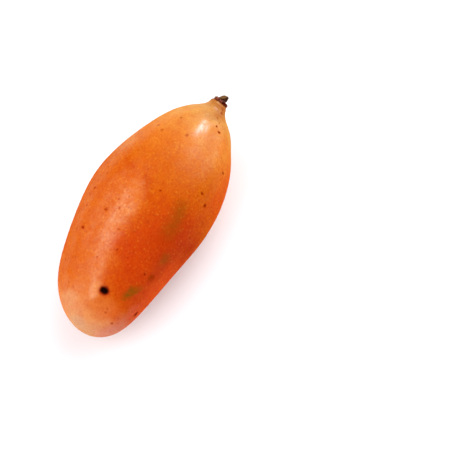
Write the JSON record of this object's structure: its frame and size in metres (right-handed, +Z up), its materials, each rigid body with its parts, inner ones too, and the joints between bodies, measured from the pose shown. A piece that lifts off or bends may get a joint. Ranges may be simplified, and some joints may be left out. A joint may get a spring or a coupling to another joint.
{
  "type": "mango",
  "caption": "Ripe long mango lying on its cheek, with rounded blossom end, short neck, dark calyx ring and a broken stub of stem.",
  "frame": {"origin": "middle of the small flat spot that the fruit rests on", "axes": "+X along the fruit's length towards its stem, +Y towards its fuller side, +Z up off the surface it rests on"},
  "size_m": [0.1463, 0.0673, 0.0603],
  "materials": {
    "fruit_skin": "satin, waxy orange skin with fine pale dots",
    "calyx_ring": "dull, dark red-brown, lumpy",
    "stem_stub": "dull, olive brown, woody"
  },
  "bodies": {
    "root": {"fruit": "fruit_skin", "calyx_ring": "calyx_ring", "stem_stub": "stem_stub"}
  },
  "joints": []
}
